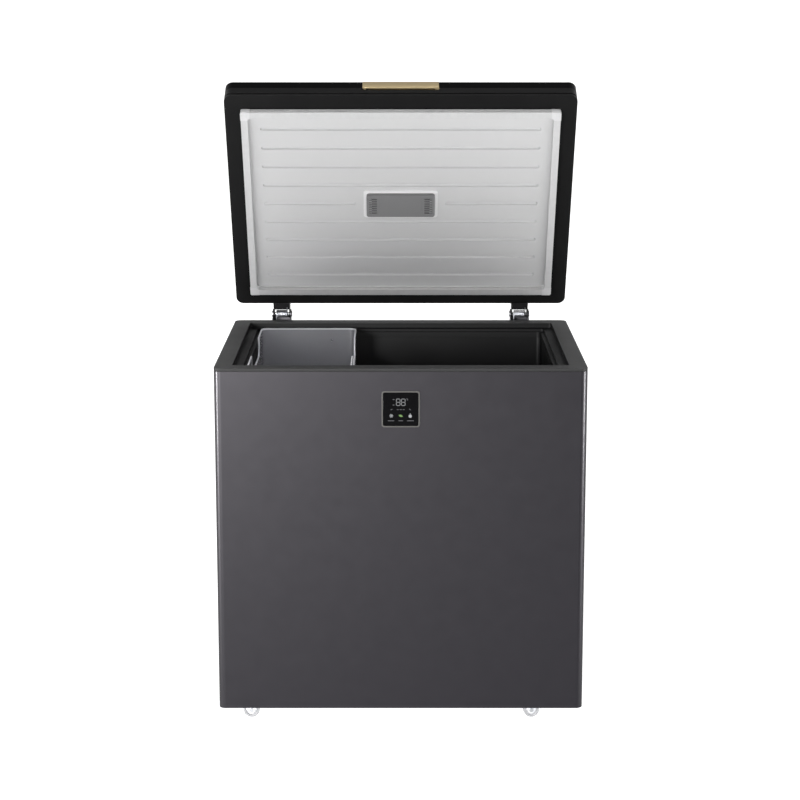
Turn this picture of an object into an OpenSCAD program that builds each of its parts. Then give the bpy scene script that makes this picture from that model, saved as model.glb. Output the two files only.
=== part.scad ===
// Chest freezer with its lid open: cabinet, lid, hinges, basket, rollers and cooling system.
// +X is the freezer's right, the front faces -Y, +Z is up. The origin is on the floor,
// under the middle of the whole freezer as it stands with the lid open.

/* [Cabinet] */
// Width of the cabinet
cabinet_w = 810; // [700:10:1200]
// Depth of the cabinet, front face to back panel
cabinet_d = 600; // [500:10:760]
// Height of the steel body, between the base tray and the top frame
shell_h = 765; // [600:5:900]
// Height of the base tray above the floor
ground_gap = 39; // [39:1:60]
// Radius of the vertical corners
corner_r = 15; // [8:1:20]
// Thickness of the painted steel sheets
sheet_t = 1; // [0.6:0.1:1.5]
// Thickness of the base tray
tray_t = 1.5; // [1:0.1:3]
// Height of the base tray's upturned flange
tray_flange_h = 20; // [12:1:30]
// Gap of the seams between the wrap and the back panel
seam_gap = 0.4; // [0.2:0.1:1]

/* [Top frame] */
// Height of the frame above the steel body
frame_h = 7; // [6:0.5:15]
// Wall of the moulding
frame_t = 3; // [2:0.5:4]
// Width of the flat land around the opening
land_w = 38; // [30:1:60]
// Depth of the gasket ledge below the land
land_drop = 12; // [8:1:20]
// Width of the gasket ledge
ledge_w = 20; // [18:1:30]
// Depth of the basket step below the gasket ledge
step_drop = 6; // [4:1:12]
// Width of the basket step
step_w = 6; // [5:1:15]
// Thickness of the lip that covers the liner's edge
lip_t = 2; // [1:0.5:3]
// Height of the lip
lip_h = 13; // [8:1:25]
// Corner radius of the frame's inner edges
frame_inner_r = 6; // [4:1:15]
// Height of the shadow groove under the frame
shadow_h = 2.5; // [1:0.5:4]
// Depth of the shadow groove
shadow_in = 1.5; // [0.5:0.5:2]

/* [Liner] */
// Thickness of the inner liner
liner_t = 1.2; // [0.8:0.1:2]
// Foam under the liner's floor
floor_foam = 65; // [40:5:90]
// Corner radius of the storage well
well_r = 12; // [10:1:30]

/* [Compressor compartment] */
// Width of the compartment, at the right end
comp_w = 264; // [250:2:300]
// Height of the compartment
comp_h = 212; // [205:1:260]
// Foam between the compartment and the storage well
comp_foam = 58; // [40:1:80]
// Thickness of the compartment's sheet hood
hood_t = 1; // [0.8:0.1:2]
// Radius of the compressor's body
compressor_r = 66; // [55:1:70]
// Height of the compressor's straight wall
compressor_wall = 78; // [60:1:90]
// Height of the compressor's domes
dome_h = 30; // [20:1:36]
// Side length of the compressor's mounting plate, left to right
mount_w = 180; // [170:1:190]
// Side length of the mounting plate, front to back
mount_d = 150; // [140:1:170]

/* [Lid] */
// Thickness of the closed lid
lid_t = 57; // [48:1:80]
// Gap between the closed lid and the top frame
lid_gap = 4; // [3:0.5:8]
// How far the lid's edge stands inside the cabinet's
lid_in = 2; // [1:0.5:6]
// Corner radius of the lid
lid_r = 18; // [10:1:25]
// How far the lid stands open
lid_open = 62; // [0:1:80]
// Height of the lid's lower frame
lid_frame_h = 31; // [24:1:36]
// Height of the finger groove's lower edge in the lid frame
lid_groove_z = 5.5; // [4:0.5:8]
// Height of the finger groove
lid_groove_h = 5; // [3:0.5:8]
// Depth of the finger groove
lid_groove_d = 3; // [2:0.5:5]
// Wall of the lid frame
lid_wall = 2.5; // [2:0.5:4]
// Thickness of the lid's flat mouldings
lid_plate_t = 2; // [1.5:0.5:3]
// Radius of the pressed grooves in the lid liner
rib_r = 4.5; // [3:0.5:6]
// Number of pressed grooves
rib_count = 9; // [5:2:11]
// Distance of the first and last groove from the lid's edge
rib_margin = 92; // [85:1:110]
// Distance of the grooves' ends from the lid's sides
rib_side = 86; // [80:1:100]

/* [Gasket] */
// Width of the gasket
gasket_w = 16; // [14:0.5:20]
// Side play between the gasket and the frame's riser
gasket_play = 1.5; // [1:0.5:3]
// Play between the gasket and its ledge when the lid is shut
gasket_clear = 0.4; // [0.3:0.1:1]
// Side length of a gasket corner block
gasket_corner = 21; // [19:1:26]

/* [Handle] */
// Length of the handle insert
handle_w = 175; // [120:1:220]
// Height of the handle insert
handle_h = 25; // [22:1:40]
// Depth of the handle's pocket in the lid
handle_d = 12; // [8:1:20]
// Height of the finger recess below the handle insert
pull_h = 9; // [8:1:16]
// How far the handle's face bulges
handle_bulge = 2; // [0.5:0.5:2]

/* [Deodoriser] */
// Length of the deodoriser cover
deo_w = 161; // [120:1:180]
// Height of the deodoriser cover
deo_h = 61; // [50:1:70]
// Depth of the deodoriser cover
deo_d = 10; // [8:0.5:12]
// Border of the white base plate around the cover
deo_border = 7; // [4:0.5:9]
// Thickness of the base plate
deo_base_t = 2.5; // [1.5:0.5:3]

/* [Hinges] */
// Distance of each hinge from the middle
hinge_x = 293; // [200:1:300]
// Width of a hinge bracket
hinge_w = 46; // [40:1:60]
// Thickness of the hinge's steel
hinge_t = 2; // [1.5:0.1:3]
// Distance of the pivot behind the back panel
pivot_back = 35; // [34:0.5:45]
// Height of the pivot above the top frame
pivot_up = 9.5; // [9:0.5:12]
// Length of the bracket below the top frame
bracket_len = 110; // [90:1:140]
// Radius of the hinge pin
pin_r = 4; // [3:0.5:5]
// Radial play of the lid arm on the pin
pin_play = 0.05; // [0.02:0.01:0.1]
// Mean radius of the hinge spring
spring_r = 9; // [8:0.5:10]
// Diameter of the spring wire
wire_d = 2.6; // [2:0.2:3]
// Whole turns of the hinge spring
spring_turns = 8; // [5:1:8]

/* [Basket] */
// Width of the basket
basket_w = 229; // [180:1:280]
// Height of the basket
basket_h = 190; // [120:5:260]
// Wall of the basket
basket_t = 2; // [1.5:0.5:3]
// Gap between the basket and the frame's lip
basket_play = 2; // [2:0.5:6]
// Height of the basket's rim above the basket step
basket_up = 8; // [4:0.5:9]
// Depth of the hand dip in each side wall
dip_h = 44; // [25:1:60]

/* [Control panel] */
// Distance from the top of the steel body to the bezel
panel_drop = 42.5; // [40:0.5:60]
// Width of the bezel
bezel_w = 83; // [70:1:100]
// Height of the bezel
bezel_h = 80; // [70:1:100]
// Width of the bezel's border
bezel_border = 3; // [2.5:0.5:6]
// How far the bezel stands proud of the front
bezel_proud = 1.5; // [1:0.5:3]
// Depth of the control box
control_d = 28; // [22:1:32]

/* [Rollers] */
// Distance of the left rollers from the middle
roller_left = 336; // [300:1:345]
// Distance of the right rollers from the middle
roller_right = 294; // [280:1:345]
// Distance of the rollers' middle from the front and from the back
roller_in = 55; // [40:1:80]
// Radius of a roller
roller_r = 18; // [14:0.5:18]
// Width of a roller
roller_w = 20; // [14:1:24]
// Radius of a roller's axle
axle_r = 3; // [2.5:0.5:4]
// Radial play of a roller on its axle
axle_play = 0.08; // [0.02:0.01:0.1]

/* [Drain] */
// Distance of the drain to the left of the middle
drain_x = 250; // [200:1:270]
// Distance of the drain hole in front of the back panel
drain_in = 150; // [120:1:200]
// Outer radius of the drain tube
drain_r = 14; // [10:0.5:16]
// Wall of the drain tube
drain_wall = 2; // [1.5:0.5:3]
// Height of the drain outlet above the base tray
drain_up = 40; // [37:1:45]

/* [Hidden] */
$fn = 48;
eps = 0.5;          // how far a cutting shape runs past a face
fit = 0.2;          // play of a part in its seat
embed = 0.3;        // distance kept between a curved part and a flat neighbour

// Heights, from the floor up
z_base = ground_gap;
z_tray = z_base + tray_t;
z_shell = z_base + shell_h;
z_rim = z_shell + frame_h;
z_ledge = z_rim - land_drop;
z_step = z_ledge - step_drop;
z_under_step = z_step - frame_t;
z_floor = z_tray + floor_foam;
z_hood = z_tray + comp_h;
z_lid = z_rim + lid_gap;
z_lid_top = z_lid + lid_t;

// Distances in from the cabinet's outer faces
in_skirt = max(sheet_t, shadow_in) + frame_t;    // inner face of the frame's skirt
in_ledge = land_w + ledge_w;
in_well = in_ledge + step_w;
in_liner = in_well - liner_t;
in_lip = in_well + lip_t;
in_gasket = land_w + gasket_play;
in_slot = in_gasket + gasket_w / 2;     // middle of the slot that holds the gasket's barb

// Compressor compartment and the step that it makes in the storage well
comp_x = cabinet_w / 2 - sheet_t - comp_w;
comp_right = cabinet_w / 2 - sheet_t;
step_x = comp_x - comp_foam;
z_step_floor = z_hood + hood_t + comp_foam;
compressor_x = comp_x + comp_w / 2 + 8;
compressor_y = cabinet_d * 0.55;
mount_z = z_tray + 12;
mount_t = 2.5;
compressor_z = mount_z + mount_t;
bolt_dx = mount_w / 2 - 18;
bolt_dy = mount_d / 2 - 18;
bolt_r = 4;
grommet_h = 22;
grommet_r = 13;

// Hinge pivot, and the depth of the whole freezer as it stands
pivot_y = cabinet_d + pivot_back;
pivot_z = z_rim + pivot_up;
lid_back_rise = z_lid_top - pivot_z;
lid_back_y = pivot_y - (pivot_back + lid_in) * cos(lid_open) + lid_back_rise * sin(lid_open);
bracket_web = [11.5, 13.5];     // the web that joins a bracket's ears, behind the pivot
bracket_back_y = pivot_y + bracket_web[1];
back_y = max(lid_back_y, bracket_back_y);
middle_y = (back_y - bezel_proud) / 2;

// ---------- shared shapes ----------

// Everything is drawn with the front face at y = 0, then moved so that the origin is in the middle
module placed() translate([0, -middle_y, 0]) children();

// The lid is drawn shut, then turned about the hinge pins
module opened() placed() translate([0, pivot_y, pivot_z]) rotate([-lid_open, 0, 0])
    translate([0, -pivot_y, -pivot_z]) children();

module rounded_rect(size, r) {
    square([size[0] - 2 * r, size[1]], center = true);
    square([size[0], size[1] - 2 * r], center = true);
    for (sx = [-1, 1], sy = [-1, 1])
        translate([sx * (size[0] / 2 - r), sy * (size[1] / 2 - r)]) circle(r);
}

// The cabinet's outline, moved in by a distance, with its own corner radius
module plan(inset, r) translate([0, cabinet_d / 2])
    rounded_rect([cabinet_w - 2 * inset, cabinet_d - 2 * inset], r);

module slab(inset, r, low, high) translate([0, 0, low]) linear_extrude(high - low) plan(inset, r);

module ring(out, r_out, inner, r_in, low, high) translate([0, 0, low])
    linear_extrude(high - low) difference() { plan(out, r_out); plan(inner, r_in); }

// A box between two corners
module box(a, b) translate(a) cube(b - a);

// A rod along Y or X from a point
module rod_y(p, r, len) translate(p) rotate([-90, 0, 0]) cylinder(h = len, r = r);
module rod_x(p, r, len) translate(p) rotate([0, 90, 0]) cylinder(h = len, r = r);

// A rounded plate that faces the front: middle x and z, size, front y and back y
module front_plate(x, z, size, r, front, back) translate([x, back, z]) rotate([90, 0, 0])
    linear_extrude(back - front) rounded_rect(size, r);

// ---------- tubes swept along a route ----------

function unit(v) = v / norm(v);

// Route corners replaced by arcs of a radius
function filleted(p, r, n = 4) = [
    p[0],
    for (i = [1 : len(p) - 2])
        let (a = unit(p[i - 1] - p[i]), b = unit(p[i + 1] - p[i]),
             half = acos(max(-1, min(1, a * b))) / 2,
             reach = r / tan(half), mid = unit(a + b), c = p[i] + mid * (r / sin(half)),
             from = p[i] + a * reach - c, to = p[i] + b * reach - c, turn = 180 - 2 * half)
            for (k = [0 : n]) let (s = k / n)
                c + (from * sin((1 - s) * turn) + to * sin(s * turn)) / sin(turn),
    p[len(p) - 1]
];

// Direction of travel at a point of a route
function heading(p, i) = i == 0 ? unit(p[1] - p[0])
    : i == len(p) - 1 ? unit(p[i] - p[i - 1])
    : unit(unit(p[i] - p[i - 1]) + unit(p[i + 1] - p[i]));

// A side direction at each point, carried along the route so that the tube doesn't twist
function first_side(d) = unit(cross(d, abs(d[2]) < 0.8 ? [0, 0, 1] : [1, 0, 0]));
function sides_along(p) = [
    for (i = 0, s = first_side(heading(p, 0)); i < len(p); i = i + 1,
         s = i < len(p) ? unit(s - heading(p, i) * (s * heading(p, i))) : s) s
];

module tube_along(p, r, n = 8) {
    side = sides_along(p);
    points = [for (i = [0 : len(p) - 1]) let (d = heading(p, i), u = side[i], v = cross(d, u))
        for (k = [0 : n - 1]) p[i] + r * (u * cos(360 * k / n) + v * sin(360 * k / n))];
    last = len(p) - 1;
    polyhedron(points, concat(
        [[for (k = [0 : n - 1]) k]],
        [for (i = [0 : last - 1], k = [0 : n - 1])
            [i * n + k, (i + 1) * n + k, (i + 1) * n + (k + 1) % n, i * n + (k + 1) % n]],
        [[for (k = [n - 1 : -1 : 0]) last * n + k]]
    ));
}

// Corners of a coil that climbs round the cabinet, starting at the back right
function coil_corner(inset, k) = let (x = cabinet_w / 2 - inset, f = inset, b = cabinet_d - inset)
    [[x, b], [x, f], [-x, f], [-x, b]][k % 4];
function coil_route(inset, low, pitch, first, last) = [
    for (k = [first : last]) let (c = coil_corner(inset, k)) [c[0], c[1], low + pitch * k / 4]
];

// ---------- cabinet ----------

control_z = z_shell - panel_drop - bezel_h / 2;
opening_w = bezel_w - 2 * bezel_border + 2;
opening_h = bezel_h - 2 * bezel_border + 2;
grille_y = cabinet_d * 0.5;
grille_size = [300, 140];
grille_z = z_base + 104;
service_size = [212, 172];
service_x = comp_x + 20 + service_size[0] / 2;
service_z = z_base + 24 + service_size[1] / 2;
drain_y = cabinet_d - drain_in;
drain_z = z_base + drain_up;
hinge_screw_z = [z_rim - 46, z_rim - 96];
hinge_screw_dx = 12;
hinge_screw_r = 2.5;

module hinge_screw_places() for (side = [-1, 1], dx = [-1, 1], z = hinge_screw_z)
    translate([side * hinge_x + dx * hinge_screw_dx, cabinet_d, z]) children();

module body_wrap() ring(0, corner_r, sheet_t, corner_r - sheet_t, z_base, z_shell);

module outer_shell() color("#5f5c64") difference() {
    body_wrap();
    box([-cabinet_w, cabinet_d - corner_r, 0], [cabinet_w, cabinet_d + eps, z_rim]);
    front_plate(0, control_z, [opening_w, opening_h], 3, -eps, sheet_t + eps);
    translate([comp_right - eps, grille_y - grille_size[0] / 2, grille_z - grille_size[1] / 2])
        cube([sheet_t + 2 * eps, grille_size[0], grille_size[1]]);
}

module back_panel() color("#54525a") difference() {
    body_wrap();
    box([-cabinet_w, -eps, 0], [cabinet_w, cabinet_d - corner_r + seam_gap, z_rim]);
    translate([service_x - service_size[0] / 2, cabinet_d - sheet_t - eps,
               service_z - service_size[1] / 2])
        cube([service_size[0], sheet_t + 2 * eps, service_size[1]]);
    for (x = [-1, 1], z = [-1, 1]) rod_y([service_x + x * cover_dx, cabinet_d - sheet_t - eps,
        service_z + z * cover_dz], cover_screw_r + fit, sheet_t + 2 * eps);
    rod_y([-drain_x, cabinet_d - sheet_t - eps, drain_z], drain_r + fit, sheet_t + 2 * eps);
    hinge_screw_places() rod_y([0, -sheet_t - eps, 0], hinge_screw_r + fit, sheet_t + 2 * eps);
}

roller_spots = [
    [-roller_left, roller_in], [roller_right, roller_in],
    [-roller_left, cabinet_d - roller_in], [roller_right, cabinet_d - roller_in]
];
roller_plate = [50, 44];
roller_plate_t = 1.6;
roller_screw_r = 2;
roller_screw_at = [19, 18];

module roller_screw_places() for (spot = roller_spots, sx = [-1, 1], sy = [-1, 1])
    translate([spot[0] + sx * roller_screw_at[0], spot[1] + sy * roller_screw_at[1], 0]) children();

module compressor_bolt_places() for (sx = [-1, 1], sy = [-1, 1])
    translate([compressor_x + sx * bolt_dx, compressor_y + sy * bolt_dy, 0]) children();

module base_tray() color("#8b8d90") difference() {
    union() {
        slab(sheet_t, corner_r - sheet_t, z_base, z_tray);
        ring(sheet_t, corner_r - sheet_t, sheet_t + tray_t, corner_r - sheet_t - tray_t,
             z_base, z_tray + tray_flange_h);
    }
    roller_screw_places() translate([0, 0, z_base - eps])
        cylinder(h = tray_t + 2 * eps, r = roller_screw_r + fit / 2);
    compressor_bolt_places() translate([0, 0, z_base - eps])
        cylinder(h = tray_t + 2 * eps, r = bolt_r + fit);
    for (i = [-2 : 2]) box([comp_x + 40, 120 + i * 16, z_base - eps],
        [comp_right - 60, 126 + i * 16, z_tray + eps]);
}

module well_outside() difference() {
    slab(in_liner, well_r + liner_t, z_floor - liner_t, z_under_step);
    box([step_x, 0, z_floor - liner_t - eps], [cabinet_w, cabinet_d, z_step_floor]);
}

module well_inside() difference() {
    slab(in_well, well_r, z_floor, z_under_step + eps);
    box([step_x - liner_t, 0, z_floor - eps], [cabinet_w, cabinet_d, z_step_floor + liner_t]);
}

module inner_liner() color("#232326") difference() {
    well_outside();
    well_inside();
    translate([-drain_x, drain_y, z_floor - liner_t - eps])
        cylinder(h = liner_t + 2 * eps, r = drain_r - drain_wall);
}

backing_size = [62, 3, 96];
backing_z = (hinge_screw_z[0] + hinge_screw_z[1]) / 2;

module hinge_backing(grow = 0) for (side = [-1, 1])
    translate([side * hinge_x, cabinet_d - sheet_t - backing_size[1] / 2, backing_z])
        cube(backing_size + [grow, grow, grow], center = true);

module cabinet_foam() color("#e4d9a8") difference() {
    union() {
        slab(sheet_t + tray_t, corner_r - sheet_t - tray_t, z_tray, z_tray + tray_flange_h);
        slab(sheet_t, corner_r - sheet_t, z_tray + tray_flange_h, z_under_step);
        slab(in_skirt, corner_r - in_skirt, z_under_step, z_ledge - frame_t);
        ring(in_skirt, corner_r - in_skirt, land_w - frame_t,
             frame_inner_r + frame_t, z_ledge - frame_t, z_rim - frame_t);
    }
    slab(in_ledge - frame_t, frame_inner_r + frame_t, z_under_step, z_rim);
    well_outside();
    box([comp_x - eps, -eps, z_base], [cabinet_w, cabinet_d + eps, z_hood + hood_t]);
    front_plate(0, control_z, control_box_size, 4, -eps, sheet_t + control_d);
    translate([-drain_x, drain_y, drain_z]) cylinder(h = z_floor, r = drain_r + fit);
    translate([-drain_x, drain_y, drain_z]) sphere(drain_r + fit);
    rod_y([-drain_x, drain_y, drain_z], drain_r + fit, cabinet_d);
    hinge_backing();
    hinge_screw_places() rod_y([0, -hinge_screw_len - fit, 0], hinge_screw_r + fit, hinge_screw_len);
}

module top_frame() color("#3a3a3b") {
    // land, with its shadow groove over the steel body
    ring(0, corner_r, land_w, frame_inner_r, z_rim - frame_t, z_rim);
    ring(0, corner_r, frame_t, corner_r - frame_t, z_shell + shadow_h, z_rim - frame_t);
    ring(shadow_in, corner_r - shadow_in, shadow_in + frame_t, corner_r - shadow_in - frame_t,
         z_shell, z_shell + shadow_h + 1);
    ring(sheet_t, corner_r - sheet_t, sheet_t + frame_t, corner_r - sheet_t - frame_t,
         z_under_step, z_shell);
    // gasket ledge
    ring(land_w - frame_t, frame_inner_r + frame_t, land_w, frame_inner_r,
         z_ledge - frame_t, z_rim - frame_t);
    ring(land_w - frame_t, frame_inner_r + frame_t, in_ledge, frame_inner_r,
         z_ledge - frame_t, z_ledge);
    // basket step and the lip over the liner's edge
    ring(in_ledge - frame_t, frame_inner_r + frame_t, in_ledge, frame_inner_r,
         z_under_step, z_ledge - frame_t);
    ring(in_ledge - frame_t, frame_inner_r + frame_t, in_lip, well_r - lip_t,
         z_under_step, z_step);
    ring(in_well, well_r, in_lip, well_r - lip_t, z_step - lip_h, z_under_step);
}

// ---------- drain ----------

spout_len = 14;
cap_wall = 2.5;
cap_play = 0.3;

module drain_tube() color("#4a4b4d") difference() {
    union() {
        translate([-drain_x, drain_y, drain_z])
            cylinder(h = z_floor - liner_t - drain_z, r = drain_r);
        translate([-drain_x, drain_y, drain_z]) sphere(drain_r);
        rod_y([-drain_x, drain_y, drain_z], drain_r, drain_in + spout_len);
    }
    translate([-drain_x, drain_y, drain_z]) cylinder(h = z_floor, r = drain_r - drain_wall);
    translate([-drain_x, drain_y, drain_z]) sphere(drain_r - drain_wall);
    rod_y([-drain_x, drain_y, drain_z], drain_r - drain_wall, cabinet_d);
}

module drain_plug() color("#d8d8d6") translate([-drain_x, drain_y, z_floor]) {
    cylinder(h = 4, r = drain_r + 3);
    translate([0, 0, -14]) cylinder(h = 14, r = drain_r - drain_wall - cap_play);
    translate([0, 0, 4]) cylinder(h = 8, r = 4);
    translate([0, 0, 12]) sphere(5);
}

module drain_cap() color("#2e2e30") difference() {
    rod_y([-drain_x, cabinet_d + 2, drain_z], drain_r + cap_play + cap_wall, spout_len + 2);
    rod_y([-drain_x, cabinet_d + 2 - eps, drain_z], drain_r + cap_play, spout_len - 2 + cap_play + eps);
}

// ---------- compressor compartment ----------

hood_in = sheet_t + tray_t + fit;
pipe_r = 3;
suction_r = 4;
discharge_at = [compressor_x + 30, compressor_y - 20];
suction_at = [compressor_x - 26, compressor_y + 24];
compressor_top = compressor_z + dome_h * 2 + compressor_wall;
stub_top = compressor_top + 4;
drier_at = [comp_x + 26, compressor_y - 90];
drier_z = z_tray + 76;
drier_len = 80;
return_z = drier_z - 30;      // height of the cold pipe's run back to the drier
condenser_in = sheet_t + pipe_r + embed;
evaporator_in = in_liner - suction_r - embed;
condenser_up = [cabinet_w / 2 - 12, cabinet_d - 12];
condenser_down = [cabinet_w / 2 - 30, cabinet_d - 22];
evaporator_up = [cabinet_w / 2 - evaporator_in, cabinet_d - evaporator_in];
evaporator_down = [cabinet_w / 2 - 46, cabinet_d - 22];

function cap_sphere(r, h) = (r * r + h * h) / (2 * h);

module pipe_hole(at, r) translate([at[0], at[1], z_hood - eps])
    cylinder(h = hood_t + 2 * eps, r = r + 1);

module compressor_hood() color("#a9acae") difference() {
    intersection() {
        union() {
            box([comp_x, hood_in, z_hood], [comp_right, cabinet_d - hood_in, z_hood + hood_t]);
            box([comp_x, hood_in, z_tray], [comp_x + hood_t, cabinet_d - hood_in, z_hood + hood_t]);
        }
        slab(sheet_t + fit, corner_r - sheet_t - fit, z_tray, z_hood + hood_t);
    }
    pipe_hole(condenser_up, pipe_r + 2);
    pipe_hole(condenser_down, pipe_r);
    pipe_hole(evaporator_up, suction_r);
    pipe_hole(evaporator_down, suction_r);
    pipe_hole([comp_x + 70, hood_in + 40], pipe_r);
}

module compressor() color("#1c1c1e") translate([compressor_x, compressor_y, compressor_z]) {
    big = cap_sphere(compressor_r, dome_h);
    cylinder(h = dome_h, r = compressor_r * 0.6);
    intersection() {
        translate([0, 0, big]) sphere(big, $fn = 96);
        cylinder(h = dome_h, r = compressor_r);
    }
    translate([0, 0, dome_h]) cylinder(h = compressor_wall, r = compressor_r);
    translate([0, 0, dome_h + compressor_wall * 0.45]) cylinder(h = 6, r = compressor_r + 4);
    translate([0, 0, dome_h + compressor_wall]) intersection() {
        translate([0, 0, dome_h - big]) sphere(big, $fn = 96);
        cylinder(h = dome_h, r = compressor_r);
    }
    for (at = [discharge_at, suction_at])
        translate([at[0] - compressor_x, at[1] - compressor_y, dome_h + compressor_wall])
            cylinder(h = stub_top - compressor_z - dome_h - compressor_wall, r = 5.5);
}

module compressor_plate() color("#3b3c3f") difference() {
    translate([compressor_x, compressor_y, mount_z]) linear_extrude(mount_t)
        rounded_rect([mount_w, mount_d], 14);
    compressor_bolt_places() translate([0, 0, mount_z - eps])
        cylinder(h = mount_t + 2 * eps, r = 10);
}

module compressor_grommets() color("#1a1a1a") compressor_bolt_places()
    translate([0, 0, z_tray]) difference() {
        cylinder(h = grommet_h, r = grommet_r);
        translate([0, 0, -eps]) cylinder(h = grommet_h + 2 * eps, r = bolt_r + fit);
        translate([0, 0, mount_z - z_tray - fit / 2]) difference() {
            cylinder(h = mount_t + fit, r = grommet_r + 1);
            translate([0, 0, -eps]) cylinder(h = mount_t + 3 * eps, r = 10 - fit / 2);
        }
    }

module compressor_bolts() color("#b9bcc0") compressor_bolt_places() {
    translate([0, 0, z_base - 9]) cylinder(h = z_tray + grommet_h - z_base + 9, r = bolt_r);
    translate([0, 0, z_tray + grommet_h]) cylinder(h = 1.6, r = 10);
    translate([0, 0, z_tray + grommet_h + 1.6]) cylinder(h = 5.5, r = 7.5, $fn = 6);
}

module compressor_nuts() color("#b9bcc0") compressor_bolt_places()
    translate([0, 0, z_base - 6.5]) difference() {
        cylinder(h = 6.5, r = 7.5, $fn = 6);
        translate([0, 0, -eps]) cylinder(h = 8, r = bolt_r + 0.05);
    }

module relay_cover() color("#26272a") difference() {
    translate([compressor_x - 25, compressor_y + compressor_r - 22, compressor_z + dome_h - 4])
        cube([50, 56, 38]);
    translate([compressor_x, compressor_y, compressor_z])
        cylinder(h = 200, r = compressor_r + embed);
}

module filter_drier() color("#b06a3c") translate([drier_at[0], drier_at[1], drier_z])
    rotate_extrude() polygon([[0, 0], [3.5, 0], [3.5, 12], [9, 20], [9, drier_len - 20],
        [3.5, drier_len - 12], [3.5, drier_len], [0, drier_len]]);

// The hot pipe climbs inside the outer wrap and comes back down to the filter drier
condenser_low = z_hood + 55;
condenser_pitch = 64;
condenser_turns = 5;
condenser_route = concat(
    [[discharge_at[0], discharge_at[1], stub_top],
     [discharge_at[0], discharge_at[1], z_hood - 18],
     [condenser_up[0], condenser_up[1] - 30, z_hood - 18],
     [condenser_up[0], condenser_up[1], z_hood - 18],
     [condenser_up[0], condenser_up[1], condenser_low]],
    coil_route(condenser_in, condenser_low, condenser_pitch, 1, condenser_turns * 4 - 1),
    [[condenser_down[0] - 20, cabinet_d - condenser_in, condenser_low + condenser_pitch * condenser_turns],
     [condenser_down[0], condenser_down[1], condenser_low + condenser_pitch * condenser_turns + 12],
     [condenser_down[0], condenser_down[1], z_hood - 40],
     [drier_at[0], drier_at[1], z_hood - 40],
     [drier_at[0], drier_at[1], drier_z + drier_len]]
);

module condenser_coil() color("#b4703f") tube_along(filleted(condenser_route, 12), pipe_r);

// The cold pipe leaves the drier, climbs round the liner and returns to the compressor
evaporator_low = z_step_floor + 22;
evaporator_turns = 7;
evaporator_pitch = (z_under_step - 30 - evaporator_low) / evaporator_turns;
evaporator_route = concat(
    [[suction_at[0], suction_at[1], stub_top],
     [suction_at[0], suction_at[1], z_hood - 22],
     [evaporator_up[0], evaporator_up[1] - 40, z_hood - 22],
     [evaporator_up[0], evaporator_up[1], z_hood - 22]],
    coil_route(evaporator_in, evaporator_low, evaporator_pitch, 0, evaporator_turns * 4 - 1),
    [[evaporator_down[0] - 50, cabinet_d - evaporator_in, z_under_step - 30],
     [evaporator_down[0], evaporator_down[1], z_under_step - 30],
     [evaporator_down[0], evaporator_down[1], return_z],
     [comp_x + 60, cabinet_d - 38, return_z],
     [comp_x + 60, compressor_y - 40, return_z],
     [drier_at[0], drier_at[1], return_z],
     [drier_at[0], drier_at[1], drier_z]]
);

module evaporator_coil() color("#b8bcc0") tube_along(filleted(evaporator_route, 14), suction_r);

power_at = [comp_x + hood_t, cabinet_d - 170, z_tray + 20];
power_size = [46, 120, 84];

module power_box() color("#d9d9d4") translate(power_at) difference() {
    cube(power_size);
    translate([2, 2, 2]) cube(power_size - [4, 4, 4]);
    translate([power_size[0] - 8, power_size[1] - 3, 12]) cube([5, 6, 30]);
}

module power_board() color("#2f6b45") translate(power_at + [10, 6, 6]) {
    cube([1.6, power_size[1] - 12, power_size[2] - 12]);
    for (part = [[8, 10, 22, 20], [40, 12, 20, 26], [70, 40, 26, 22], [14, 46, 18, 18]])
        translate([1.6, part[0], part[1]]) cube([part[2] * 0.8, part[3], part[3]]);
}

module side_grille() color("#2c2c2f") {
    translate([comp_right - 8, grille_y, grille_z]) rotate([90, 0, 90]) {
        linear_extrude(8) difference() {
            square(grille_size + [20, 20], center = true);
            square(grille_size - [12, 12], center = true);
        }
        linear_extrude(8 + sheet_t) difference() {
            square(grille_size - [fit * 2, fit * 2], center = true);
            square(grille_size - [12, 12], center = true);
        }
        for (i = [-4 : 4]) translate([0, i * 14, 0]) linear_extrude(8 + sheet_t)
            square([grille_size[0] - 12, 5], center = true);
        linear_extrude(8) square([6, grille_size[1] - 12], center = true);
    }
}

cover_t = 1.5;
cover_size = service_size + [24, 20];
cover_dx = service_size[0] / 2 + 6;
cover_dz = service_size[1] / 2 + 5;
cover_screw_r = 1.8;
gland_x = service_x - service_size[0] / 2 + 26;
gland_z = service_z - service_size[1] / 2 + 20;
gland_bore = 4;
gland_r = 8;

module rear_cover() color("#9a9da0") difference() {
    front_plate(service_x, service_z, cover_size, 4, cabinet_d, cabinet_d + cover_t);
    for (i = [0 : 7]) translate([service_x - 75, cabinet_d - eps, service_z - 40 + i * 14])
        cube([150, cover_t + 2 * eps, 6]);
    for (x = [-1, 1], z = [-1, 1]) rod_y([service_x + x * cover_dx, cabinet_d - eps,
        service_z + z * cover_dz], cover_screw_r + fit, cover_t + 2 * eps);
    rod_y([gland_x, cabinet_d - eps, gland_z], gland_r + fit, cover_t + 2 * eps);
}

module rear_cover_screws() color("#c2c5c9") for (x = [-1, 1], z = [-1, 1])
    translate([service_x + x * cover_dx, cabinet_d, service_z + z * cover_dz]) {
        rod_y([0, -sheet_t, 0], cover_screw_r, sheet_t + cover_t);
        rod_y([0, cover_t, 0], 3.6, 2.2);
    }

module cord_gland() color("#1b1b1c") difference() {
    union() {
        rod_y([gland_x, cabinet_d - 8, gland_z], gland_r, 14);
        rod_y([gland_x, cabinet_d + cover_t, gland_z], gland_r + 3, 3);
        rod_y([gland_x, cabinet_d - 3, gland_z], gland_r + 3, 3);
    }
    rod_y([gland_x, cabinet_d - 9, gland_z], gland_bore, 16);
}

// ---------- control panel ----------

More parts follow.
